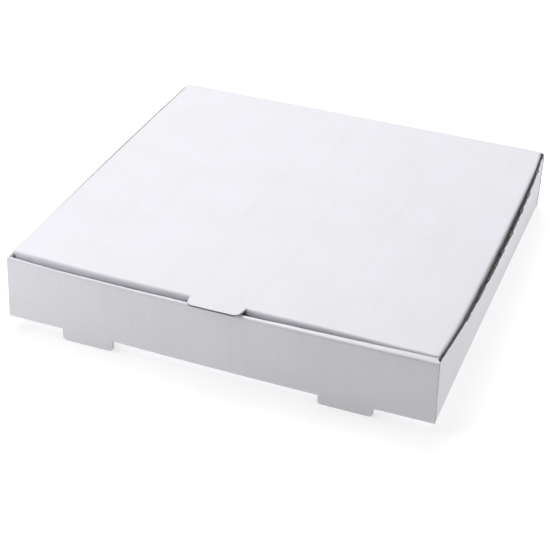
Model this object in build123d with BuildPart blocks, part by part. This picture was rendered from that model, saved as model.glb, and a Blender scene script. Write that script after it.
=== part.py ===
import os
from math import radians, tan

from build123d import *

# A one-piece pizza box, folded from white-lined E-flute board. Millimetres, +Z up, front at -Y.
# The origin lies under the middle of the box, at the level of the two feet.

# Board
board = 1.6
crease_inside = 0.4
layer_gap = 0.3
edge_gap = 0.5
cut_overrun = 5.0

# Tray
inside_width = 305.0
inside_depth = 301.0
inside_height = 44.5
corner_flap_length = 46.0
corner_flap_taper = 5.0
corner_flap_radius = 6.0

# Feet cut out of the floor, and the lock tabs that drop into the slots that they leave
foot_drop = 8.0
foot_width = 38.0
foot_spacing = 187.0
foot_radius = 3.0
lock_side_gap = 1.0
lock_reach = 2.0
lock_radius = 1.5

# Lid
lid_rise = 0.8
lid_side_gap = 0.5
tuck_gap = 1.6
flap_floor_gap = 7.0
flap_lean = 4.0
flap_taper = 12.0
flap_radius = 10.0
front_flap_inset = 5.0
side_flap_inset = 8.0
hinge_gap = 0.2

# Pull tab, cut out of the lid's front flap
tab_length = 10.5
tab_root_width = 40.0
tab_tip_width = 36.0
tab_radius = 4.0

# Places that follow from the sizes
crease_radius = board + crease_inside
front_stack = 3 * board + 2 * layer_gap
outer_width = inside_width + 2 * board
outer_depth = front_stack + inside_depth + board
tab_overhang = tab_length - tuck_gap - front_stack

half_width = outer_width / 2
half_inside = inside_width / 2
front_face = (tab_overhang - outer_depth) / 2
back_face = front_face + outer_depth
panel_face = front_face + front_stack
side_front = front_face + board + layer_gap
side_back = back_face - board - layer_gap

floor_under = foot_drop
floor_top = floor_under + board
wall_top = floor_top + inside_height
wall_middle = (floor_under + wall_top) / 2
lid_top = wall_top + lid_rise + board

lid_half = half_inside - lid_side_gap
lid_front = panel_face + tuck_gap
flap_low = floor_top + flap_floor_gap
flap_run = (lid_top - floor_top) * tan(radians(flap_lean))
mitre_reach = 2 * crease_radius


def folded_section(plane, outer_line):
    """Section of a board folded along a line on its outer face, with the board on the line's left."""
    with BuildSketch(plane) as section:
        with BuildLine():
            FilletPolyline(*outer_line, radius=crease_radius)
            offset(amount=board, side=Side.LEFT)
        make_face()
    return section.sketch


def tab_outline(plane, root, tip, radius, paired=False):
    """Flap or tab from its two root corners to its two rounded tip corners, one or a mirrored pair."""
    with BuildSketch(plane) as outline:
        with BuildLine():
            Polyline(root[0], tip[0], tip[1], root[1], close=True)
        make_face()
        fillet([outline.vertices().sort_by_distance(corner)[0] for corner in tip], radius)
        if paired:
            mirror(about=Plane.YZ)
    return outline.sketch


def strip_ends(near, far):
    """Both ends of a strip of floor, which leave room for the creases of the side walls."""
    with BuildSketch(Plane.XY.offset(floor_under)) as ends:
        with Locations((0, (near + far) / 2)):
            with GridLocations(outer_width - mitre_reach, 0, 2, 1):
                Rectangle(mitre_reach, far - near)
    return ends.sketch


# Floor and side walls, whose ends turn inwards as corner flaps
with BuildPart() as side_walls:
    channel = folded_section(
        Plane.XZ.offset(-side_back - cut_overrun),
        [
            (-half_width, wall_top),
            (-half_width, floor_under),
            (half_width, floor_under),
            (half_width, wall_top),
        ],
    )
    extrude(channel, amount=side_back - side_front + 2 * cut_overrun)

    corner_root = half_inside + board / 2
    corner_tip = half_inside - corner_flap_length
    corner_low = floor_top + edge_gap
    for corner_face, corner_high in (
        (side_front + board, wall_top - board - layer_gap),
        (side_back, wall_top - edge_gap),
    ):
        corner_flaps = tab_outline(
            Plane.XZ.offset(-corner_face),
            root=((corner_root, corner_low), (corner_root, corner_high)),
            tip=((corner_tip, corner_low + corner_flap_taper), (corner_tip, corner_high - corner_flap_taper)),
            radius=corner_flap_radius,
            paired=True,
        )
        extrude(corner_flaps, amount=board)

    with BuildSketch(Plane.XY):
        with Locations((0, (side_front + side_back) / 2)):
            RectangleRounded(outer_width, side_back - side_front, crease_radius)
    extrude(amount=lid_top, mode=Mode.INTERSECT)

# Front wall, rolled over the corner flaps and down behind them
with BuildPart() as front_wall:
    rollover = folded_section(
        Plane.YZ,
        [
            (panel_face, floor_top + edge_gap),
            (panel_face, wall_top),
            (front_face, wall_top),
            (front_face, wall_middle),
        ],
    )
    front_crease = folded_section(
        Plane.YZ,
        [(front_face, wall_middle), (front_face, floor_under), (panel_face, floor_under)],
    )
    extrude([*rollover.faces(), *front_crease.faces()], amount=half_width, both=True)
    extrude(strip_ends(front_face + board, panel_face), amount=crease_radius, mode=Mode.SUBTRACT)

    # Behind the front wall the rolled-over board is narrowed to pass between the side walls
    panel_half = half_inside - layer_gap
    with BuildSketch(Plane.XY.offset(floor_top)):
        with BuildLine():
            Polyline(
                (half_width, front_face + layer_gap),
                (half_width, panel_face + cut_overrun),
                (panel_half, panel_face + cut_overrun),
                (panel_half, front_face + board),
                (half_width - layer_gap, front_face + board),
                close=True,
            )
        make_face()
        mirror(about=Plane.YZ)
    extrude(amount=lid_top, mode=Mode.SUBTRACT)

# Back wall, which ends in its half of the mitred lid crease
with BuildPart() as back_wall:
    with BuildSketch(Plane.YZ):
        with BuildLine():
            FilletPolyline(
                (back_face - front_stack, floor_under),
                (back_face, floor_under),
                (back_face, lid_top),
                (back_face - mitre_reach, lid_top),
                radius=crease_radius,
            )
            offset(amount=board, side=Side.LEFT)
        make_face()
        with BuildLine():
            Polyline(
                (back_face, lid_top),
                (back_face - mitre_reach, lid_top),
                (back_face - mitre_reach, lid_top - mitre_reach),
                close=True,
            )
        make_face(mode=Mode.SUBTRACT)
    extrude(amount=half_width, both=True)
    extrude(strip_ends(back_face - front_stack, back_face - board), amount=crease_radius, mode=Mode.SUBTRACT)

# Tray: the walls on one floor, with its slots, the feet cut from them and the lock tabs that drop in
with BuildPart() as tray:
    add(side_walls.part)
    add(front_wall.part)
    add(back_wall.part)

    slot_length = foot_drop
    with BuildSketch(Plane.XY.offset(floor_under)):
        with Locations((0, front_face + board + slot_length / 2)):
            with GridLocations(foot_spacing, 0, 2, 1):
                Rectangle(foot_width, slot_length)
    extrude(amount=board + crease_inside, mode=Mode.SUBTRACT)

    foot_inner = (foot_spacing - foot_width) / 2
    foot_outer = foot_inner + foot_width
    feet = tab_outline(
        Plane.XZ.offset(-front_face - board),
        root=((foot_inner, floor_top), (foot_outer, floor_top)),
        tip=((foot_inner, 0), (foot_outer, 0)),
        radius=foot_radius,
        paired=True,
    )
    extrude(feet, amount=board)

    lock_inner = foot_inner + lock_side_gap
    lock_outer = foot_outer - lock_side_gap
    lock_tabs = tab_outline(
        Plane.XZ.offset(-panel_face),
        root=((lock_inner, wall_middle), (lock_outer, wall_middle)),
        tip=((lock_inner, floor_under - lock_reach), (lock_outer, floor_under - lock_reach)),
        radius=lock_radius,
        paired=True,
    )
    extrude(lock_tabs, amount=board)

# The lid's front flap, leaning inwards, with the notch that the pull tab leaves
with BuildPart() as front_flap:
    flap_half = lid_half - front_flap_inset
    flap_plane = Plane.XZ.offset(-lid_front - flap_run - mitre_reach)
    flap_travel = flap_run + mitre_reach + board
    flap_fold = folded_section(
        Plane.YZ,
        [(lid_front + mitre_reach, lid_top), (lid_front, lid_top), (lid_front + flap_run, floor_top)],
    )
    extrude(flap_fold, amount=lid_half, both=True)

    flap_shape = tab_outline(
        flap_plane,
        root=((-flap_half, lid_top + cut_overrun), (flap_half, lid_top + cut_overrun)),
        tip=((flap_taper - flap_half, flap_low), (flap_half - flap_taper, flap_low)),
        radius=flap_radius,
    )
    extrude(flap_shape, amount=flap_travel, mode=Mode.INTERSECT)

    notch = tab_outline(
        flap_plane,
        root=((-tab_root_width / 2, lid_top + board), (tab_root_width / 2, lid_top + board)),
        tip=((-tab_tip_width / 2, lid_top - tab_length), (tab_tip_width / 2, lid_top - tab_length)),
        radius=tab_radius,
    )
    extrude(notch, amount=flap_travel, mode=Mode.SUBTRACT)

# Lid: a top panel with two side flaps that tuck inside the walls, the front flap and the pull tab
with BuildPart() as lid:
    cover = folded_section(
        Plane.XZ.offset(-back_face - cut_overrun),
        [(lid_half, floor_top), (lid_half, lid_top), (-lid_half, lid_top), (-lid_half, floor_top)],
    )
    extrude(cover, amount=back_face - lid_front + 2 * cut_overrun)

    lip_low = lid_top - crease_radius - edge_gap
    side_flap_front = lid_front + side_flap_inset
    side_flap_back = side_back - side_flap_inset
    mitre_start = back_face - hinge_gap
    with BuildSketch(Plane.YZ):
        with BuildLine():
            Polyline(
                (lid_front, lip_low),
                (lid_front, lid_top),
                (back_face, lid_top),
                (back_face, lip_low),
                close=True,
            )
        make_face()
        fillet(vertices().group_by(Axis.Y)[-1], crease_radius)
        add(
            tab_outline(
                Plane.XY,
                root=((side_flap_front, lip_low + edge_gap), (side_flap_back, lip_low + edge_gap)),
                tip=((side_flap_front + flap_taper, flap_low), (side_flap_back - flap_taper, flap_low)),
                radius=flap_radius,
            )
        )
        with BuildLine():
            Polyline(
                (mitre_start, lid_top),
                (mitre_start + mitre_reach, lid_top),
                (mitre_start + mitre_reach, lid_top - mitre_reach),
                (mitre_start - mitre_reach, lid_top - mitre_reach),
                close=True,
            )
        make_face(mode=Mode.SUBTRACT)
    extrude(amount=lid_half, both=True, mode=Mode.INTERSECT)

    add(front_flap.part)

    tab_root = lid_front + crease_radius
    tab_tip = lid_front - tab_length
    pull_tab = tab_outline(
        Plane.XY.offset(lid_top - board),
        root=((-tab_root_width / 2, tab_root), (tab_root_width / 2, tab_root)),
        tip=((-tab_tip_width / 2, tab_tip), (tab_tip_width / 2, tab_tip)),
        radius=tab_radius,
    )
    extrude(pull_tab, amount=board)

os.makedirs("parts", exist_ok=True)
for piece, name in ((tray, "tray"), (lid, "lid")):
    piece.part.label = name
    export_step(piece.part, f"parts/{name}.step")
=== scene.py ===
import math

import bmesh
import bpy
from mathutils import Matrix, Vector, noise


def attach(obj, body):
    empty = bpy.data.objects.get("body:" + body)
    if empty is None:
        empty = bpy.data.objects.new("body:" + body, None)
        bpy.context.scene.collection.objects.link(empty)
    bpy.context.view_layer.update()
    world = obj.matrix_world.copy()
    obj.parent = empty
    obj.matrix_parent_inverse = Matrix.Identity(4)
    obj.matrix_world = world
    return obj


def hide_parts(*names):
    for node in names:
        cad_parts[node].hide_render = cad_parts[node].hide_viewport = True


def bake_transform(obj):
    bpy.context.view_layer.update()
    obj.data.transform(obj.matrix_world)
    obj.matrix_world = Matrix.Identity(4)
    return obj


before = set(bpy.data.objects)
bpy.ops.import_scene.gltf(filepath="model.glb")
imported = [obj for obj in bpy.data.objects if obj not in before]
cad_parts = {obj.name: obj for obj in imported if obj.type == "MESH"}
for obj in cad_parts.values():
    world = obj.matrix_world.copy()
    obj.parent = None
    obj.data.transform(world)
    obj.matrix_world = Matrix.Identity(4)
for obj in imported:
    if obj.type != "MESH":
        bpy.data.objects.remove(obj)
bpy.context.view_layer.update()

# Pizza box folded from one sheet of white-lined E-flute board. The front faces -Y.
# Lengths in the settings are millimetres; the scene itself is in metres.
mm = 0.001

board = {
    "thickness": 1.6,
    "layerGap": 0.3,
    "creaseRadius": 2.0,
    "curveSteps": 6,
    "linerThickness": 0.3,
    "edgeRecess": 0.2,
    "edgeSlope": 0.02,
    "edgeReach": 1.0,
    "softEdge": 35,
}
flute = {
    "pitch": 3.4,
    "steps": 8,
    "wave": 0.4,
    "paper": 0.18,
    "recess": 0.9,
    "setBack": 0.1,
    "overlap": 0.05,
    "softEdge": 60,
}
# The torn slot holds the darker fluting that paints shade on the right wall's rim
finishSlots = {"grey": 1, "edge": 2, "core": 3, "torn": 4}  # the white liner comes first, in slot 0
touch = 0.05  # points this near each other count as one place
slack = 0.1  # room around a range of places, so that its ends count too
merge = 0.01  # points this near each other are joined


def near(a, b, reach=touch):
    return abs(a - b) < reach


# Keeps a share between nothing and the whole
def clamp(share):
    return min(max(share, 0), 1)


# Share that is whole in the middle and fades to nothing at its reach
def bulge(place, middle, reach):
    return max(1 - ((place - middle) / reach) ** 2, 0)


def startEdit(obj):
    bpy.ops.object.select_all(action="DESELECT")
    obj.select_set(True)
    bpy.context.view_layer.objects.active = obj
    bpy.ops.object.mode_set(mode="EDIT")


def endEdit():
    bpy.ops.object.mode_set(mode="OBJECT")


# Selects the edges, faces or points whose corners all pass a test on their place in mm
def pick(kind, test):
    bpy.ops.mesh.select_mode(type=kind)
    bpy.ops.mesh.select_all(action="DESELECT")
    mesh = bmesh.from_edit_mesh(bpy.context.edit_object.data)
    items = {"VERT": mesh.verts, "EDGE": mesh.edges, "FACE": mesh.faces}[kind]
    for item in items:
        corners = [item] if kind == "VERT" else item.verts
        if all(test(corner.co / mm) for corner in corners):
            item.select_set(True)
    mesh.select_flush_mode()
    bmesh.update_edit_mesh(bpy.context.edit_object.data)


def pull(x=0, y=0, z=0):
    bpy.ops.mesh.extrude_region_move(TRANSFORM_OT_translate={"value": (x * mm, y * mm, z * mm)})


def fold(centre, axis, degrees):
    bpy.ops.mesh.spin(
        steps=board["curveSteps"],
        angle=-math.radians(degrees),  # spin counts angles the other way round
        center=Vector(centre) * mm,
        axis=axis,
    )


def cut(axis, places):
    direction = {"x": (1, 0, 0), "y": (0, 1, 0), "z": (0, 0, 1)}[axis]
    for place in places:
        bpy.ops.mesh.select_all(action="SELECT")
        bpy.ops.mesh.bisect(plane_co=Vector(direction) * place * mm, plane_no=direction)


def roundCorners(test, radius):
    pick("VERT", test)
    bpy.ops.mesh.bevel(offset=radius * mm, segments=board["curveSteps"], affect="VERTICES")


# Evenly spaced places between two ends, half a step in from each
def spread(low, high, count):
    return [low + (high - low) * (step + 0.5) / count for step in range(count)]


def addPanel(name, low, high, height):
    bpy.ops.object.select_all(action="DESELECT")
    middle = ((low[0] + high[0]) / 2 * mm, (low[1] + high[1]) / 2 * mm, height * mm)
    bpy.ops.mesh.primitive_plane_add(size=1, location=middle)
    panel = bpy.context.object
    panel.name = name
    panel.data.name = name
    panel.scale = ((high[0] - low[0]) * mm, (high[1] - low[1]) * mm, 1)
    bpy.ops.object.transform_apply(location=True, rotation=True, scale=True)
    return panel


# Moves every point of a piece by a rule that takes and gives millimetres
def shape(piece, rule):
    for point in piece.data.vertices:
        point.co = Vector(rule(point.co / mm)) * mm


# Sinks the selected faces, with walls that slope a little
def recess(depth):
    bpy.ops.mesh.inset(thickness=board["edgeSlope"] * mm, depth=-depth * mm, use_even_offset=False)


# Gives a folded sheet its thickness, then opens its cut edges between the two liners,
# deeper where the cut shows the flutes end on or the edge is torn
def makeBoard(piece, isDeep):
    for material in boardFinish:
        piece.data.materials.append(material)
    solid = piece.modifiers.new("thickness", "SOLIDIFY")
    solid.thickness = board["thickness"] * mm
    solid.offset = -1
    solid.use_even_offset = True
    solid.material_offset = finishSlots["grey"]
    solid.material_offset_rim = finishSlots["edge"]
    bpy.ops.object.select_all(action="DESELECT")
    piece.select_set(True)
    bpy.context.view_layer.objects.active = piece
    bpy.ops.object.modifier_apply(modifier=solid.name)
    startEdit(piece)
    bpy.ops.mesh.select_mode(type="FACE")
    bpy.ops.mesh.select_all(action="DESELECT")
    piece.active_material_index = finishSlots["edge"]
    bpy.ops.object.material_slot_select()
    bpy.ops.mesh.inset(thickness=board["linerThickness"] * mm, depth=0)
    piece.active_material_index = finishSlots["core"]
    bpy.ops.object.material_slot_assign()
    recess(board["edgeRecess"])
    mesh = bmesh.from_edit_mesh(piece.data)
    for face in mesh.faces:
        if face.select and not isDeep(face.calc_center_median() / mm):
            face.select_set(False)
    bmesh.update_edit_mesh(piece.data)
    recess(flute["recess"] - board["edgeRecess"])
    endEdit()
    bpy.ops.object.shade_smooth_by_angle(angle=math.radians(board["softEdge"]))


# Wavy fluting paper between the liners, along cut edges that cross the flutes
def layFlutes(name, runs, rule):
    pitch, steps = flute["pitch"], flute["steps"]
    strips = []
    for start, end, across, inwards in runs:
        along = Vector(end) - Vector(start)
        count = round(along.length / pitch)
        stretch = along.length / (count * pitch)
        along.normalize()
        inwards = Vector(inwards) - Vector(inwards).dot(along) * along
        inwards.normalize()
        strip = addPanel(name, (0, flute["setBack"]), (pitch, flute["recess"] + flute["overlap"]), 0)
        startEdit(strip)
        cut("x", [pitch * step / steps for step in range(1, steps)])
        endEdit()
        shape(strip, lambda p: (p.x, p.y, flute["wave"] * math.sin(2 * math.pi * p.x / pitch)))
        repeat = strip.modifiers.new("flutes", "ARRAY")
        repeat.count = count
        repeat.use_merge_vertices = True
        repeat.merge_threshold = merge * mm
        paper = strip.modifiers.new("paper", "SOLIDIFY")
        paper.thickness = flute["paper"] * mm
        paper.offset = 0
        for modifier in (repeat.name, paper.name):
            bpy.ops.object.modifier_apply(modifier=modifier)
        shape(strip, lambda p: Vector(start) + along * p.x * stretch + inwards * p.y + Vector(across) * p.z)
        startEdit(strip)
        bpy.ops.mesh.select_all(action="SELECT")
        bpy.ops.mesh.normals_make_consistent(inside=False)
        endEdit()
        strips.append(strip)
    bpy.ops.object.select_all(action="DESELECT")
    for strip in strips:
        strip.select_set(True)
    bpy.context.view_layer.objects.active = strips[0]
    bpy.ops.object.join()
    flutes = bpy.context.object
    flutes.name = name
    flutes.data.name = name
    flutes.data.materials.append(fluteCore)
    shape(flutes, rule)
    bpy.ops.object.shade_smooth_by_angle(angle=math.radians(flute["softEdge"]))
    return flutes


# Materials
# Turns an sRGB colour, written in hex, into linear light
def linear(hexColour):
    parts = [int(hexColour[place:place + 2], 16) / 255 for place in (0, 2, 4)]
    return [part / 12.92 if part <= 0.04045 else ((part + 0.055) / 1.055) ** 2.4 for part in parts] + [1]


# Adds a node with its settings, and links it by socket name or, as inputN, by socket number
def addNode(tree, kind, settings=None, **links):
    node = tree.nodes.new(kind)
    for name, value in (settings or {}).items():
        if isinstance(name, int) or name in node.inputs:
            node.inputs[name].default_value = value
        else:
            setattr(node, name, value)
    for name, socket in links.items():
        place = name.replace("_", " ")
        target = node.inputs[int(place[5:])] if place.startswith("input") else node.inputs[place]
        tree.links.new(socket, target)
    return node


def newMaterial(name, roughness, ior):
    material = bpy.data.materials.new(name)
    material.use_nodes = True
    shader = material.node_tree.nodes["Principled BSDF"]
    shader.inputs["Roughness"].default_value = roughness
    shader.inputs["IOR"].default_value = ior
    return material, material.node_tree, shader


def clayCoatedWhite():
    # Clay-coated white-top liner: a cool matt white, faintly mottled, with the flutes just showing through
    material, tree, shader = newMaterial("clayCoatedWhiteLiner", roughness=0.55, ior=1.5)
    coords = addNode(tree, "ShaderNodeTexCoord")
    place = addNode(tree, "ShaderNodeSeparateXYZ", None, Vector=coords.outputs["Object"])
    facing = addNode(tree, "ShaderNodeSeparateXYZ", None, Vector=coords.outputs["Normal"])
    sideways = addNode(tree, "ShaderNodeMath", {"operation": "ABSOLUTE"}, input0=facing.outputs["X"])
    onSide = addNode(
        tree,
        "ShaderNodeMath",
        {"operation": "GREATER_THAN", 1: 0.7},  # faces turned to a side, where the flutes run level
        input0=sideways.outputs[0],
    )
    across = addNode(
        tree,
        "ShaderNodeMix",
        {"data_type": "FLOAT"},
        Factor=onSide.outputs[0],
        A=place.outputs["X"],
        B=place.outputs["Z"],
    )
    turns = addNode(
        tree,
        "ShaderNodeMath",
        {"operation": "MULTIPLY", 1: 2 * math.pi / (flute["pitch"] * mm)},
        input0=across.outputs[0],
    )
    washboard = addNode(tree, "ShaderNodeMath", {"operation": "SINE"}, input0=turns.outputs[0])
    cloud = addNode(
        tree,
        "ShaderNodeTexNoise",
        {"Scale": 1 / (45 * mm), "Detail": 2.0},  # uneven coating, patches of about 45 mm
        Vector=coords.outputs["Object"],
    )
    fibre = addNode(
        tree,
        "ShaderNodeTexNoise",
        {"Scale": 1 / (1.4 * mm), "Detail": 3.0},  # fibres under the coating, drawn coarser than real to show
        Vector=coords.outputs["Object"],
    )
    stretched = addNode(
        tree,
        "ShaderNodeMapping",
        {"Scale": (1 / (9 * mm), 1 / (140 * mm), 1 / (140 * mm))},  # streaks along the flutes, 9 mm apart
        Vector=coords.outputs["Object"],
    )
    streak = addNode(tree, "ShaderNodeTexNoise", {"Scale": 1.0, "Detail": 2.0}, Vector=stretched.outputs[0])
    coat = addNode(tree, "ShaderNodeValToRGB", None, Fac=cloud.outputs["Fac"])
    coat.color_ramp.elements[0].position = 0.3
    coat.color_ramp.elements[0].color = linear("DCDCE1")
    coat.color_ramp.elements[1].position = 0.7
    coat.color_ramp.elements[1].color = linear("DFDFE5")
    tintShare = addNode(
        tree,
        "ShaderNodeMapRange",
        {"From Min": 0.5, "From Max": 0.8, "To Max": 0.22},  # only the strong half of the streaks tints
        Value=streak.outputs["Fac"],
    )
    tinted = addNode(
        tree,
        "ShaderNodeMix",
        {"data_type": "RGBA", 7: linear("D6D6D3")},
        Factor=tintShare.outputs[0],
        input6=coat.outputs["Color"],
    )
    grain = addNode(
        tree,
        "ShaderNodeMapRange",
        {"From Min": 0.3, "From Max": 0.7, "To Min": 0.975, "To Max": 1.01},
        Value=fibre.outputs["Fac"],
    )
    toned = addNode(
        tree,
        "ShaderNodeVectorMath",
        {"operation": "SCALE"},
        input0=tinted.outputs[2],
        Scale=grain.outputs[0],
    )
    tree.links.new(toned.outputs[0], shader.inputs["Base Color"])
    sheen = addNode(
        tree,
        "ShaderNodeMapRange",
        {"To Min": 0.48, "To Max": 0.62},
        Value=fibre.outputs["Fac"],
    )
    tree.links.new(sheen.outputs[0], shader.inputs["Roughness"])
    relief = addNode(
        tree,
        "ShaderNodeMath",
        {"operation": "MULTIPLY_ADD", 1: 0.35},  # washboard of the flutes, laid over the fibres
        input0=washboard.outputs[0],
        input2=fibre.outputs["Fac"],
    )
    bump = addNode(
        tree,
        "ShaderNodeBump",
        {"Strength": 0.5, "Distance": 0.03 * mm},
        Height=relief.outputs[0],
    )
    tree.links.new(bump.outputs[0], shader.inputs["Normal"])
    return material


# Recycled papers share one make-up: a base, cloudy formation, long fibres and a few dark flecks
def recycledPaper(name, dark, light, fleck, roughness, fleckShare):
    material, tree, shader = newMaterial(name, roughness, ior=1.5)
    coords = addNode(tree, "ShaderNodeTexCoord")
    cloud = addNode(
        tree,
        "ShaderNodeTexNoise",
        {"Scale": 1 / (6 * mm), "Detail": 5.0, "Roughness": 0.65},  # formation, patches of about 6 mm
        Vector=coords.outputs["Object"],
    )
    paper = addNode(tree, "ShaderNodeValToRGB", None, Fac=cloud.outputs["Fac"])
    paper.color_ramp.elements[0].position = 0.3
    paper.color_ramp.elements[0].color = linear(dark)
    paper.color_ramp.elements[1].position = 0.7
    paper.color_ramp.elements[1].color = linear(light)
    stretched = addNode(
        tree,
        "ShaderNodeMapping",
        {"Scale": (1 / (0.8 * mm), 1 / (4 * mm), 1 / (2 * mm))},  # fibres 4 mm long, drawn 0.8 mm wide
        Vector=coords.outputs["Object"],
    )
    fibre = addNode(tree, "ShaderNodeTexNoise", {"Scale": 1.0, "Detail": 3.0}, Vector=stretched.outputs[0])
    cells = addNode(
        tree,
        "ShaderNodeTexVoronoi",
        {"Scale": 1 / (3.5 * mm)},  # one fleck at most in each 3.5 mm
        Vector=coords.outputs["Object"],
    )
    speck = addNode(
        tree,
        "ShaderNodeMapRange",
        {"From Min": 0.06, "From Max": 0.14, "To Min": fleckShare, "To Max": 0.0},
        Value=cells.outputs["Distance"],
    )
    flecked = addNode(
        tree,
        "ShaderNodeMix",
        {"data_type": "RGBA", 7: linear(fleck)},
        Factor=speck.outputs[0],
        input6=paper.outputs["Color"],
    )
    grain = addNode(
        tree,
        "ShaderNodeMapRange",
        {"From Min": 0.3, "From Max": 0.7, "To Min": 0.93, "To Max": 1.04},
        Value=fibre.outputs["Fac"],
    )
    toned = addNode(
        tree,
        "ShaderNodeVectorMath",
        {"operation": "SCALE"},
        input0=flecked.outputs[2],
        Scale=grain.outputs[0],
    )
    tree.links.new(toned.outputs[0], shader.inputs["Base Color"])
    dull = addNode(
        tree,
        "ShaderNodeMapRange",
        {"To Min": roughness - 0.08, "To Max": roughness + 0.08},
        Value=fibre.outputs["Fac"],
    )
    tree.links.new(dull.outputs[0], shader.inputs["Roughness"])
    bump = addNode(
        tree,
        "ShaderNodeBump",
        {"Strength": 0.6, "Distance": 0.06 * mm},
        Height=fibre.outputs["Fac"],
    )
    tree.links.new(bump.outputs[0], shader.inputs["Normal"])
    return material


whiteLiner = clayCoatedWhite()
# Inner liner of recycled test paper: pale grey, dull, with visible fibres and flecks
greyLiner = recycledPaper(
    "recycledTestLiner",
    dark="BCBAB6",
    light="CBCAC7",
    fleck="7D7A75",
    roughness=0.8,
    fleckShare=0.5,
)
# Cut edge of the liners: fuzzy paper ends, paler than the core between them
linerEdge = recycledPaper(
    "cutLinerEdge",
    dark="CBC9C6",
    light="D9D7D4",
    fleck="95938F",
    roughness=0.88,
    fleckShare=0.3,
)
# Fluting paper: thin, grey and unbleached, seen only at cut edges
fluteCore = recycledPaper(
    "flutingPaper",
    dark="9C9A97",
    light="B0AEAB",
    fleck="73716E",
    roughness=0.88,
    fleckShare=0.3,
)
# Torn core: crushed fluting, duller than a clean cut, coloured darker as painted shade for the lid's shadow
# in the gap
paintedShadeTornCore = recycledPaper(
    "paintedShadeTornFluting",
    dark="696765",
    light="7F7D7B",
    fleck="514F4D",
    roughness=0.92,
    fleckShare=0.4,
)
boardFinish = [whiteLiner, greyLiner, linerEdge, fluteCore]

# Tray
trayCut = {
    "half": 154.1,
    "front": -152.25,
    "panel": -146.85,
    "back": 155.75,
    "under": 8.0,
    "wallTop": 54.1,
    "hingeStart": 52.0,
    "panelLow": 10.1,
    "panelHalf": 152.2,
    "cornerTip": 106.5,
    "cornerHigh": 52.2,
    "cornerTaper": 5.0,
    "cornerRadius": 6.0,
    "cornerSlope": 0.3,
    "cornerFlutes": (21.5, 41.0),  # lowest and highest place
    "footInner": 74.5,
    "footOuter": 112.5,
    "footRadius": 3.0,
    "footFluteInset": 3.5,
    "slotEnd": -142.65,
    "lockLow": 6.0,
    "lockInset": 1.0,
    "lockRadius": 1.5,
    # depth of the torn rim; on the right wall this rim is also coloured dark as painted shade
    "tornAndPaintedShadeRim": 1.3,
    "bands": {"x": 22, "y": 130, "z": 5},
}


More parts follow.
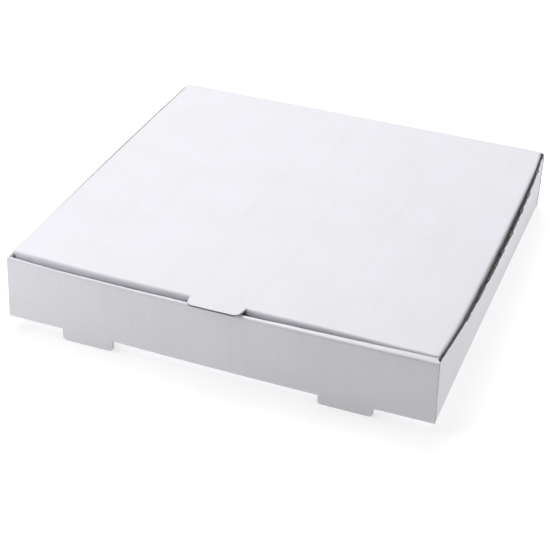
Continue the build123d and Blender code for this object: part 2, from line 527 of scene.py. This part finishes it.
def makeTray(cutting):
    radius = board["creaseRadius"]
    half, front, back = cutting["half"], cutting["front"], cutting["back"]
    under, wallTop, panel = cutting["under"], cutting["wallTop"], cutting["panel"]
    floorHalf, floorFront, floorBack = half - radius, front + radius, back - radius
    layer = board["thickness"] + board["layerGap"]
    wallFront, wallBack = floorFront + layer, floorBack - layer
    wallLow = under + radius
    footInner, footOuter = cutting["footInner"], cutting["footOuter"]

    def inFoot(x):
        return footInner - touch < abs(x) < footOuter + touch

    tray = addPanel("trayBoard", (-floorHalf, floorFront), (floorHalf, floorBack), under)
    startEdit(tray)
    bpy.ops.mesh.flip_normals()
    cut("x", (-footOuter, -footInner, 0, footInner, footOuter))
    cut("y", (cutting["slotEnd"], wallFront, wallBack))

    # Side walls, with corner flaps turned in at both ends
    for side in (-1, 1):
        pick("EDGE", lambda p: near(p.x, side * floorHalf) and wallFront - slack < p.y < wallBack + slack)
        fold((side * floorHalf, 0, wallLow), (0, side, 0), -90)
        pull(z=cutting["cornerHigh"] - wallLow)
        pull(z=wallTop - cutting["cornerHigh"])
        for end, turn in ((wallFront, 1), (wallBack, -1)):
            pick("EDGE", lambda p: near(p.x, side * half) and near(p.y, end) and p.z > wallLow - slack)
            fold((side * floorHalf, end, 0), (0, 0, 1), -90 * side * turn)
            pick(
                "EDGE",
                lambda p: near(p.x, side * floorHalf) and near(p.y, end - turn * radius)
                and wallLow - slack < p.z < cutting["cornerHigh"] + slack,
            )
            pull(x=side * (cutting["cornerTip"] - floorHalf))
            bpy.ops.transform.resize(
                value=(1, 1, 1 - 2 * cutting["cornerTaper"] / (cutting["cornerHigh"] - wallLow)),
                center_override=(0, 0, (cutting["cornerHigh"] + wallLow) / 2 * mm),
            )
    roundCorners(lambda p: near(abs(p.x), cutting["cornerTip"]), cutting["cornerRadius"])

    # Front wall, rolled over at the top and down behind the corner flaps
    pick("EDGE", lambda p: near(p.y, floorFront) and near(p.z, under))
    fold((0, floorFront, wallLow), (1, 0, 0), -90)
    pull(z=wallTop - radius - wallLow)
    fold((0, floorFront, wallTop - radius), (1, 0, 0), -90)
    pull(y=panel - radius - floorFront)
    fold((0, panel - radius, wallTop - radius), (1, 0, 0), -90)
    pull(z=cutting["panelLow"] - wallTop + radius)

    # Back wall, up to the start of the lid crease
    pick("EDGE", lambda p: near(p.y, floorBack) and near(p.z, under))
    fold((0, floorBack, wallLow), (1, 0, 0), 90)
    pull(z=cutting["hingeStart"] - wallLow)
    endEdit()

    # The front and back walls reach the outer corners, the rolled-over board stays inside them,
    # and the side walls' cut edges slope down where they turn in at the front
    def widen(p):
        outer = p.y < front + board["thickness"] or p.y > back - board["thickness"]
        rolled = front + board["layerGap"] < p.y < panel + touch and p.z > wallLow + touch
        foldEnd = near(p.y, wallFront - radius, touch / 2)
        if near(abs(p.x), floorHalf) and not foldEnd:
            if rolled and p.y > floorFront + touch:
                p.x = math.copysign(cutting["panelHalf"], p.x)
            elif outer or rolled:
                p.x = math.copysign(half, p.x)
        turned = floorHalf + 2 * slack < abs(p.x) < half - touch and p.y < wallFront
        if near(p.z, wallTop) and (turned or foldEnd):
            p.z -= cutting["cornerSlope"] * (wallFront - p.y)
        return p

    shape(tray, widen)

    # Slots in the floor, the feet that hang from the front wall, and the lock tabs over the slots
    startEdit(tray)
    pick("FACE", lambda p: inFoot(p.x) and p.y < cutting["slotEnd"] + touch and p.z < wallLow + touch)
    bpy.ops.mesh.delete(type="FACE")
    pick("EDGE", lambda p: inFoot(p.x) and near(p.y, front) and near(p.z, wallLow))
    pull(z=-wallLow)
    roundCorners(lambda p: near(p.z, 0), cutting["footRadius"])
    for side in (-1, 1):
        pick(
            "EDGE",
            lambda p: inFoot(p.x) and p.x * side > 0 and near(p.y, panel) and near(p.z, cutting["panelLow"]),
        )
        pull(z=cutting["lockLow"] - cutting["panelLow"])
        bpy.ops.transform.resize(
            value=(1 - 2 * cutting["lockInset"] / (footOuter - footInner), 1, 1),
            center_override=(side * (footInner + footOuter) / 2 * mm, 0, 0),
        )
    roundCorners(lambda p: near(p.z, cutting["lockLow"]), cutting["lockRadius"])
    cut("x", spread(-floorHalf, floorHalf, cutting["bands"]["x"]))
    cut("y", spread(wallFront, wallBack, cutting["bands"]["y"]))
    cut("z", spread(wallLow, wallTop - radius, cutting["bands"]["z"]))
    endEdit()

    def isDeep(p):
        reach = board["edgeReach"]
        onTips = p.z < cutting["lockLow"] + reach
        onTear = p.z > wallTop - reach / 2 and p.x > cutting["panelHalf"] + board["layerGap"]
        onFlap = p.z > wallLow + cutting["cornerTaper"] and near(abs(p.x), cutting["cornerTip"], reach)
        return onTips or onTear or onFlap

    makeBoard(tray, isDeep)

    # The right wall's cut edge has lost part of its liner; its top gets painted shade, a dark colour for the
    # lid's shadow there
    def onPaintedShadeRim(p):
        return p.z > wallTop - cutting["tornAndPaintedShadeRim"] and half - board["thickness"] - touch < p.x < half + touch

    tray.data.materials.append(paintedShadeTornCore)
    startEdit(tray)
    pick("FACE", onPaintedShadeRim)
    tray.active_material_index = finishSlots["torn"]
    bpy.ops.object.material_slot_assign()
    endEdit()
    return tray


# How this box has settled: side walls that spring out, a front wall that sags, a twisted roll-over
traySet = {
    "sideStart": 152.3,
    "rightBow": 4.6,
    "leftBow": 1.6,
    "bowReach": 152,
    "frontSag": 0.6,
    "sagLean": 0.35,
    "frontHang": 2.2,
    "hangMiddle": 80,
    "hangReach": 170,
    "hangDepth": 40,
    "hangTop": 40,
    "hangFade": 30,
    "rollStart": 1.7,
    "rollLow": 12,
    "rollDropLeft": 4.0,
    "rollDropRight": -1.5,
    "cornerRise": 1.7,
    "cornerReach": (90, 60),  # every reach is along x, then along y
    "cornerTipRise": 1.3,
    "cornerTipReach": (18, 5),
    "cornerLean": 1.3,
    "cornerLeanReach": (25, 40),
    "backRise": 2.0,
    "backReach": (25, 45),
    "rollRipple": 0.5,
    "rollRippleLength": 24.0,
    "tear": 0.9,
    "tearSway": 1.3,
    "tearLength": 9.0,
    "tearFine": 3.2,
    "tearFineShare": 0.5,
    "tearApart": 2,
    "tearRows": (7, 16, 3),  # places in the noise for the sway, its fine part and the ragged rim
    "tearFade": 8,
    "tearDepth": 5.0,
    "tearDrop": 1.4,
}
settleLow = 10  # up to this height everything stands as it was folded


# Share of a corner's movement that reaches a point, fading out over a reach along x and y
def nearCorner(p, corner, reach):
    return math.exp(-(((p.x - corner[0]) / reach[0]) ** 2) - ((p.y - corner[1]) / reach[1]) ** 2)


# How far the front corner on one side, and the lid's flaps there, lean inwards
def leanIn(p, side):
    corner = (side * trayCut["half"], trayCut["front"])
    return -side * traySet["cornerLean"] * nearCorner(p, corner, traySet["cornerLeanReach"])


# Share of a wall's movement that reaches a height, the whole of it at the top
def upWall(z, top):
    return clamp((z - settleLow) / (top - settleLow))


# The right wall's cut edge is torn, lowest on the inner liner
def tear(p, alongY):
    swayRow, fineRow, raggedRow = traySet["tearRows"]
    below = trayCut["wallTop"] - p.z
    torn = max(1 - below / traySet["tearDepth"], 0) * min(alongY * traySet["tearFade"], 1)
    inner = clamp((trayCut["half"] - p.x) / board["thickness"])
    sway = noise.noise((p.y / traySet["tearLength"], 0, swayRow))
    sway += noise.noise((p.y / traySet["tearFine"], 0, fineRow)) * traySet["tearFineShare"]
    p.x += traySet["tearSway"] * sway * torn
    if below < trayCut["tornAndPaintedShadeRim"]:
        ragged = noise.noise((p.y / traySet["tearFine"], inner * traySet["tearApart"], raggedRow))
        p.z += traySet["tear"] * (sway + ragged) * torn - traySet["tearDrop"] * inner


# The roll-over drops more on the left than on the right, and the front wall's top sags
def twist(p, alongX, height):
    half, panel = trayCut["half"], trayCut["panel"]
    rollStart = trayCut["front"] + traySet["rollStart"]
    if abs(p.x) < half + slack and p.y > rollStart and p.z > traySet["rollLow"]:
        over = min((p.y - rollStart) / (panel - rollStart), 1)
        leftShare = 0.5 - p.x / (2 * half)
        drop = traySet["rollDropRight"] + (traySet["rollDropLeft"] - traySet["rollDropRight"]) * leftShare
        if abs(p.x) < traySet["sideStart"]:
            p.z -= drop * over * height
        ripple = noise.noise((p.x / traySet["rollRippleLength"], 0, over))
        p.z += traySet["rollRipple"] * ripple * height * alongX
    p.z -= traySet["frontSag"] * alongX * (1 - traySet["sagLean"] * p.x / half) * height


# The floor's front edge hangs low, most of all on the right, and the feet keep their tips on the table
def hangDown(p):
    share = bulge(p.x, traySet["hangMiddle"], traySet["hangReach"])
    share *= math.exp(-(((p.y - trayCut["front"]) / traySet["hangDepth"]) ** 2))
    share *= min(p.z / trayCut["under"], 1) * clamp((traySet["hangTop"] - p.z) / traySet["hangFade"])
    return traySet["frontHang"] * share


def settleTray(p):
    half, front, back = trayCut["half"], trayCut["front"], trayCut["back"]
    height = upWall(p.z, trayCut["wallTop"])
    alongX = bulge(p.x, 0, half)
    alongY = bulge(p.y, (front + back) / 2, traySet["bowReach"])
    rise = traySet["cornerRise"] * nearCorner(p, (-half, front), traySet["cornerReach"])
    rise += traySet["cornerTipRise"] * nearCorner(p, (-half, front), traySet["cornerTipReach"])
    if p.y < back - board["thickness"] - slack:  # the back wall itself stays on the lid crease
        rise += traySet["backRise"] * nearCorner(p, (half, back), traySet["backReach"])
    if abs(p.x) > traySet["sideStart"] and alongY > 0:
        bow = -traySet["leftBow"]
        if p.x > 0:
            bow = traySet["rightBow"]
            tear(p, alongY)
        p.x += bow * alongY * height
    if p.y < trayCut["panel"] + slack:
        twist(p, alongX, height)
    drop = hangDown(p)
    p.x += (leanIn(p, -1) + leanIn(p, 1)) * height
    p.z += rise * height - drop
    return p


trayBoard = makeTray(trayCut)
shape(trayBoard, settleTray)
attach(trayBoard, "tray")
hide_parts("tray")
print("tray folded:", len(trayBoard.data.polygons), "faces")


# Flutes at the feet, the lock tabs and the ends of the corner flaps
def trayRuns(cutting):
    halfThick = board["thickness"] / 2
    layer = board["thickness"] + board["layerGap"]
    front, back, tip = cutting["front"], cutting["back"], cutting["cornerTip"]
    inner = cutting["footInner"] + cutting["footFluteInset"]
    outer = cutting["footOuter"] - cutting["footFluteInset"]
    low, high = cutting["cornerFlutes"]
    runs = []
    for side in (-1, 1):
        for y, z in ((front + halfThick, 0), (cutting["panel"] - halfThick, cutting["lockLow"])):
            runs.append(((side * inner, y, z), (side * outer, y, z), (0, 1, 0), (0, 0, 1)))
        for y in (front + layer + halfThick, back - layer - halfThick):
            runs.append(((side * tip, y, low), (side * tip, y, high), (0, 1, 0), (side, 0, 0)))
    return runs


trayFlutes = layFlutes("trayFlutes", trayRuns(trayCut), settleTray)
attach(trayFlutes, "tray")
print("tray flutes laid:", len(trayFlutes.data.polygons), "faces")

# Lid
lidCut = {
    "half": 152.0,
    "front": -145.25,
    "top": 56.5,
    "hingeStart": 151.0,
    "lip": 0.5,
    "flapLow": 16.6,
    "flapTaper": 12.0,
    "flapRadius": 10.0,
    "frontTaper": 15.0,
    "notch": ((7.0, 18.7), (9.4, 17.4), (10.5, 14.8)),  # depth below the top, half width there
    "sideFront": -137.25,
    "sideBack": 145.85,
    "tabRoot": 20.0,
    "tabTip": 18.0,
    "tabLength": 10.5,
    "tabRadius": 4.0,
    "tabFlutes": 13.5,
    "tipFlutes": 124.0,
    "notchFlutes": 14.0,
    "sideFlutes": ((1.28, 50.0), (8.35, 28.0)),  # distance in from the flap's end, height
    "bands": {"x": 22, "y": 24, "z": 4},
    "bandMargins": (4.0, 8.0),  # above the flaps' tips, below the crease
}


def makeLid(cutting):
    radius = board["creaseRadius"]
    half, front, top = cutting["half"], cutting["front"], cutting["top"]
    panelHalf, panelFront = half - radius, front + radius
    creaseLow = top - radius
    lipLow = creaseLow - cutting["lip"]
    tabRoot, tabTip = cutting["tabRoot"], cutting["tabTip"]

    lid = addPanel("lidBoard", (-panelHalf, panelFront), (panelHalf, cutting["hingeStart"]), top)
    startEdit(lid)
    cut("x", (-tabRoot, 0, tabRoot))
    cut("y", (cutting["sideFront"], cutting["sideBack"]))

    # Side flaps that tuck inside the side walls
    for side in (-1, 1):
        pick("EDGE", lambda p: near(p.x, side * panelHalf))
        fold((side * panelHalf, 0, creaseLow), (0, side, 0), 90)
        pull(z=-cutting["lip"])
        pick(
            "EDGE",
            lambda p: near(p.x, side * half) and near(p.z, lipLow)
            and cutting["sideFront"] - slack < p.y < cutting["sideBack"] + slack,
        )
        pull(z=cutting["flapLow"] - lipLow)
        length = cutting["sideBack"] - cutting["sideFront"]
        bpy.ops.transform.resize(
            value=(1, 1 - 2 * cutting["flapTaper"] / length, 1),
            center_override=(0, (cutting["sideFront"] + cutting["sideBack"]) / 2 * mm, 0),
        )
    roundCorners(lambda p: near(p.z, cutting["flapLow"]), cutting["flapRadius"])

    # Front flap either side of the notch that the pull tab leaves, then under it
    pick("EDGE", lambda p: near(p.y, panelFront) and near(p.z, top) and abs(p.x) > tabRoot - slack)
    fold((0, panelFront, creaseLow), (1, 0, 0), 90)
    pull(z=-cutting["lip"])
    edgeZ = lipLow
    for depth, inner in cutting["notch"]:
        pick("EDGE", lambda p: near(p.z, edgeZ) and near(p.y, front))
        pull(z=top - depth - edgeZ)
        edgeZ = top - depth
        for side in (-1, 1):
            pick("VERT", lambda p: near(p.z, edgeZ) and near(p.y, front) and 0 < p.x * side < tabRoot + slack)
            points = bmesh.from_edit_mesh(lid.data)
            for point in points.verts:
                if point.select:
                    point.co.x = side * inner * mm
            bmesh.update_edit_mesh(lid.data)
    pick("VERT", lambda p: near(p.z, edgeZ) and near(p.y, front) and abs(p.x) < tabRoot)
    bpy.ops.mesh.edge_face_add()
    pick("EDGE", lambda p: near(p.z, edgeZ) and near(p.y, front))
    pull(z=cutting["flapLow"] - edgeZ)
    bpy.ops.transform.resize(value=(1 - cutting["frontTaper"] / panelHalf, 1, 1), center_override=(0, 0, 0))
    roundCorners(
        lambda p: near(p.z, cutting["flapLow"]) and near(p.y, front) and abs(p.x) > tabRoot,
        cutting["flapRadius"],
    )

    # Pull tab, level with the top
    pick("EDGE", lambda p: near(p.y, panelFront) and near(p.z, top) and abs(p.x) < tabRoot + slack)
    pull(y=-radius - cutting["tabLength"])
    bpy.ops.transform.resize(value=(tabTip / tabRoot, 1, 1), center_override=(0, 0, 0))
    roundCorners(lambda p: near(p.y, front - cutting["tabLength"]), cutting["tabRadius"])
    endEdit()

    # The side and front creases meet in a mitre at both front corners
    def mitre(p):
        if p.z > lipLow - touch and near(abs(p.x), panelHalf) and p.y < panelFront - merge:
            p.x = math.copysign(panelHalf + panelFront - p.y, p.x)
        elif p.z > lipLow - touch and near(p.y, panelFront) and abs(p.x) > panelHalf + merge:
            p.y = panelFront - abs(p.x) + panelHalf
        return p

    shape(lid, mitre)
    startEdit(lid)
    bpy.ops.mesh.select_all(action="SELECT")
    bpy.ops.mesh.remove_doubles(threshold=merge * mm)
    lowMargin, highMargin = cutting["bandMargins"]
    cut("x", spread(-panelHalf, panelHalf, cutting["bands"]["x"]))
    cut("y", spread(panelFront, cutting["hingeStart"], cutting["bands"]["y"]))
    cut("z", spread(cutting["flapLow"] + lowMargin, creaseLow - highMargin, cutting["bands"]["z"]))
    bpy.ops.mesh.select_all(action="SELECT")
    bpy.ops.mesh.normals_make_consistent(inside=False)
    endEdit()

    def isDeep(p):
        reach = board["edgeReach"]
        onTab = p.y < front - cutting["tabLength"] + reach
        onTip = p.z < cutting["flapLow"] + reach
        inNotch = near(p.z, edgeZ, reach) and abs(p.x) < tabRoot
        onSide = abs(p.x) > panelHalf and p.z < lipLow - reach
        return onTab or onTip or inNotch or onSide

    makeBoard(lid, isDeep)
    return lid


# How the lid has settled: its sides spring out, one front corner is up and the other down,
# and its front flap leans in
lidSet = {
    "sideStart": 30,
    "bowMiddle": 4,
    "bowReach": 152,
    "rightBow": 1.4,
    "rightOut": 0.9,
    "outStart": 0.1,
    "outSlope": 4,
    "rightDip": 1.2,
    "leftBow": 1.2,
    "foldDepth": 3,
    "flapLean": 4.0,
    "frontSag": 0.6,
    "sagStart": -60,
    "sagLength": 90,
    "leftCornerRise": 2.0,
    "leftCornerReach": (45, 120),
    "leftCornerOut": 1.2,
    "leftCornerOutReach": (12, 30),
    "tuckTop": 56,
    "tuckDepth": 2,
    "flapOut": 4.6,
    "flapOutDepth": 4,
    "flapOutStart": 120,
    "flapOutRise": 27,
    "flapOutFall": 5,
    "rightCornerDip": 1.8,
    "rightCornerReach": (70, 70),
    "ripple": 0.3,
    "rippleLength": 80.0,
    "creaseRipple": 0.4,
    "creaseRippleLength": 26.0,
    "creaseRippleRow": 4,
    "creaseReach": 8,
    "tabLift": 0.8,
}


# How far the top moves up or down
def liftLid(p, alongX, alongY, rightShare):
    half, front = lidCut["half"], lidCut["front"]
    lift = lidSet["leftCornerRise"] * nearCorner(p, (-half, front), lidSet["leftCornerReach"])
    lift -= lidSet["rightCornerDip"] * nearCorner(p, (half, front), lidSet["rightCornerReach"])
    lift -= lidSet["frontSag"] * alongX * max((lidSet["sagStart"] - p.y) / lidSet["sagLength"], 0)
    lift -= lidSet["rightDip"] * rightShare * alongY
    crease = max(1 - abs(p.y - front) / lidSet["creaseReach"], 0) * alongX
    wave = noise.noise((p.x / lidSet["creaseRippleLength"], lidSet["creaseRippleRow"], 0))
    lift += lidSet["creaseRipple"] * wave * crease
    lift += lidSet["ripple"] * noise.noise(Vector((p.x, p.y, 0)) / lidSet["rippleLength"]) * alongY * alongX
    if p.y < front - slack and p.z > lidCut["top"] - lidSet["foldDepth"]:
        lift += lidSet["tabLift"] * (front - p.y) / lidCut["tabLength"]
    return lift


def settleLid(p):
    half, front, top = lidCut["half"], lidCut["front"], lidCut["top"]
    sideStart, foldLow = lidSet["sideStart"], top - lidSet["foldDepth"]
    height = upWall(p.z, top)
    alongX = bulge(p.x, 0, half)
    alongY = bulge(p.y, lidSet["bowMiddle"], lidSet["bowReach"])
    rightShare = clamp((p.x - sideStart) / (half - sideStart)) ** 2
    leftShare = clamp((-p.x - sideStart) / (half - sideStart)) ** 2
    lift = liftLid(p, alongX, alongY, rightShare)
    if p.z < foldLow and p.y < front + lidSet["foldDepth"]:
        p.y += (foldLow - p.z) * math.tan(math.radians(lidSet["flapLean"]))
    if p.y < front + lidSet["flapOutDepth"]:  # the front flap's left end springs out
        rising = (-p.x - lidSet["flapOutStart"]) / lidSet["flapOutRise"]
        falling = (p.x + half) / lidSet["flapOutFall"]
        p.x -= lidSet["flapOut"] * clamp(min(rising, falling)) ** 2
    p.x += (lidSet["rightBow"] * rightShare - lidSet["leftBow"] * leftShare) * alongY * height
    outwards = lidSet["rightOut"] * rightShare * clamp((alongY - lidSet["outStart"]) * lidSet["outSlope"])
    tucked = clamp((lidSet["tuckTop"] - p.z) / lidSet["tuckDepth"])  # the left corner itself lies on the wall
    p.x += (outwards + leanIn(p, -1) * tucked + leanIn(p, 1)) * height
    corner = nearCorner(p, (-half, front), lidSet["leftCornerOutReach"])
    p.x -= lidSet["leftCornerOut"] * corner * (1 - tucked)
    p.z += lift * height
    return p


lidBoard = makeLid(lidCut)
shape(lidBoard, settleLid)
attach(lidBoard, "lid")
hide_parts("lid")
print("lid folded:", len(lidBoard.data.polygons), "faces")


# Flutes at the pull tab's tip, the front flap's tip, the notch and the ends of the side flaps
def lidRuns(cutting):
    halfThick = board["thickness"] / 2
    tabY, tabZ = cutting["front"] - cutting["tabLength"], cutting["top"] - halfThick
    flapX, flapY = cutting["half"] - halfThick, cutting["front"] + halfThick
    notchZ = cutting["top"] - cutting["notch"][-1][0]
    runs = []
    for x, y, z, across, inwards in (
        (cutting["tabFlutes"], tabY, tabZ, (0, 0, 1), (0, 1, 0)),
        (cutting["tipFlutes"], flapY, cutting["flapLow"], (0, 1, 0), (0, 0, 1)),
        (cutting["notchFlutes"], flapY, notchZ, (0, 1, 0), (0, 0, -1)),
    ):
        runs.append(((-x, y, z), (x, y, z), across, inwards))
    for side in (-1, 1):
        for end, turn in ((cutting["sideFront"], 1), (cutting["sideBack"], -1)):
            places = [(side * flapX, end + turn * inset, z) for inset, z in cutting["sideFlutes"]]
            runs.append((*places, (1, 0, 0), (0, turn, 0)))
    return runs


lidFlutes = layFlutes("lidFlutes", lidRuns(lidCut), settleLid)
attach(lidFlutes, "lid")
print("lid flutes laid:", len(lidFlutes.data.polygons), "faces")

# Back crease between the back wall and the lid
hinge = {
    "half": lidCut["half"],
    "back": trayCut["back"],
    "top": lidCut["top"],
    "wallEnd": trayCut["hingeStart"],
    "lidEnd": lidCut["hingeStart"],
    "bands": 22,
}


def makeHinge(cutting):
    radius = board["creaseRadius"]
    crease = addPanel(
        "backCrease",
        (-cutting["half"], cutting["lidEnd"]),
        (cutting["half"], cutting["back"] - radius),
        cutting["top"],
    )
    startEdit(crease)
    pick("EDGE", lambda p: near(p.y, cutting["back"] - radius))
    fold((0, cutting["back"] - radius, cutting["top"] - radius), (1, 0, 0), -90)
    pull(z=cutting["wallEnd"] - cutting["top"] + radius)
    cut("x", spread(-cutting["half"], cutting["half"], cutting["bands"]))
    endEdit()
    makeBoard(crease, isDeep=lambda p: False)
    return crease


backCrease = makeHinge(hinge)
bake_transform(backCrease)
print("crease made:", len(backCrease.data.polygons), "faces")

# Floor, which touches the two feet and the back edge
stage = {
    "size": 20000,
    "footY": trayCut["front"],
    "backY": trayCut["back"] - board["creaseRadius"],
    "backZ": trayCut["under"],
    "glow": 0.62,
}


def acrylicTable(glow):
    # Milky acrylic lit from below: a glowing matt sheet, so the floor stays white under the box
    material, tree, shader = newMaterial("whiteAcrylicTable", roughness=0.7, ior=1.49)
    coords = addNode(tree, "ShaderNodeTexCoord")
    frost = addNode(
        tree,
        "ShaderNodeTexNoise",
        {"Scale": 1 / (2 * mm), "Detail": 2.0},  # frosting, drawn 2 mm wide
        Vector=coords.outputs["Object"],
    )
    tone = addNode(tree, "ShaderNodeValToRGB", None, Fac=frost.outputs["Fac"])
    tone.color_ramp.elements[0].color = linear("B7B7B7")
    tone.color_ramp.elements[1].color = linear("BBBBBB")
    tree.links.new(tone.outputs["Color"], shader.inputs["Base Color"])
    shader.inputs["Emission Color"].default_value = (1, 1, 1, 1)
    shader.inputs["Emission Strength"].default_value = glow
    return material


slope = math.atan2(stage["backZ"], stage["backY"] - stage["footY"])
bpy.ops.object.select_all(action="DESELECT")
bpy.ops.mesh.primitive_plane_add(
    size=stage["size"] * mm,
    location=(0, stage["footY"] * mm, 0),
    rotation=(slope, 0, 0),
)
studioFloor = bpy.context.object
studioFloor.name = "studioFloor"
studioFloor.data.materials.append(acrylicTable(stage["glow"]))
print("floor laid")

# Light
lights = {
    "top": {"place": (-100, 350, 1500), "size": 1500, "power": 13.8},
    "back": {"place": (-500, 700, 1300), "size": 1000, "power": 12.5},
    "left": {"place": (-700, -350, 900), "size": 600, "power": 3.4},
    "front": {"place": (-350, -500, 150), "size": 250, "power": 0.66},
    "right": {"place": (1400, 200, 700), "size": 900, "power": 7.4},
}
world = bpy.data.worlds.new("studioAir")
world.use_nodes = True
world.node_tree.nodes["Background"].inputs["Strength"].default_value = 0
bpy.context.scene.world = world
for name, lamp in lights.items():
    place = Vector(lamp["place"]) * mm
    bpy.ops.object.light_add(type="AREA", location=place)
    light = bpy.context.object
    light.name = name + "Softbox"
    light.data.size = lamp["size"] * mm
    light.data.energy = lamp["power"]
    light.rotation_euler = (-place).to_track_quat("-Z", "Y").to_euler()
bpy.context.scene.view_settings.view_transform = "Standard"
print("lights set")

# Camera
shot = {
    "place": (307.557, -897.183, 591.597),
    "turn": (57.7013, -1.7616, 20.7502),
    "lens": 96.909,
    "sensor": 36,
}
bpy.ops.object.camera_add(
    location=Vector(shot["place"]) * mm,
    rotation=[math.radians(angle) for angle in shot["turn"]],
)
camera = bpy.context.object
camera.data.lens = shot["lens"]
camera.data.sensor_width = shot["sensor"]
bpy.context.scene.camera = camera
print("camera set")
